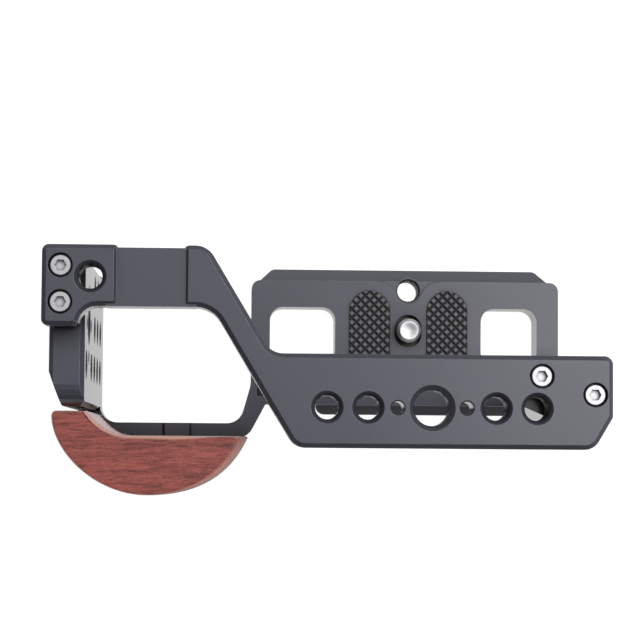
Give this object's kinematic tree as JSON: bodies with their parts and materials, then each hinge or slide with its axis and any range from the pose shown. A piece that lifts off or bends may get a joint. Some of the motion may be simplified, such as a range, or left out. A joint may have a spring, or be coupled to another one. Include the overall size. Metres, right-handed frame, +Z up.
{
  "type": "camera cage",
  "caption": "Bevelled aluminium cage for a compact camera, with a dovetail base, captive camera screw, knurled pads and a wooden side grip.",
  "frame": {"origin": "on the camera screw's axis, in the seat plane that the camera's base sits on, 0.8 mm below the point that the screw's mount states on its wall", "axes": "+X to the right of the picture, towards the pillar; +Y to the rear, up in the picture; +Z up, along the camera screw towards the camera"},
  "size_m": [0.1348, 0.0604, 0.0885],
  "materials": {
    "anodised_aluminium": "fine bead-blasted grey anodising",
    "oiled_wood": "oiled, satin",
    "black_rubber": "matt",
    "steel": "turned, bright",
    "black_plastic": "matt",
    "brass": "turned"
  },
  "bodies": {
    "cage": {"top_frame": "anodised_aluminium", "side_plate": "anodised_aluminium", "base_plate": "anodised_aluminium", "right_pillar": "anodised_aluminium", "wood_grip": "oiled_wood", "pad_left": "black_rubber", "pad_right": "black_rubber", "block_screw_rear": "steel", "block_screw_front": "steel", "pillar_screw_inner": "steel", "pillar_screw_outer": "steel", "side_foot_screw_rear": "steel", "side_foot_screw_front": "steel", "pillar_foot_screw": "steel", "pillar_dowel": "steel", "grip_screw_left": "steel", "grip_screw_right": "steel", "grip_insert_left": "brass", "grip_insert_right": "brass"},
    "retainer": {"retaining_washer": "black_plastic"},
    "thrust": {"thrust_washer": "steel"},
    "screw": {"camera_screw": "steel"}
  },
  "joints": [
    {"name": "screw_shift", "type": "slide", "parent": "cage", "child": "retainer", "axis": [0, 1, 0], "range_m": [-0.0008, 0.0008]},
    {"name": "screw_lift", "type": "slide", "parent": "retainer", "child": "thrust", "axis": [0, 0, 1], "range_m": [-0.00475, 0]},
    {"name": "screw_turn", "type": "hinge", "parent": "thrust", "child": "screw", "pos_m": [0, 0, 0], "axis": [0, 0, 1], "continuous": true}
  ]
}
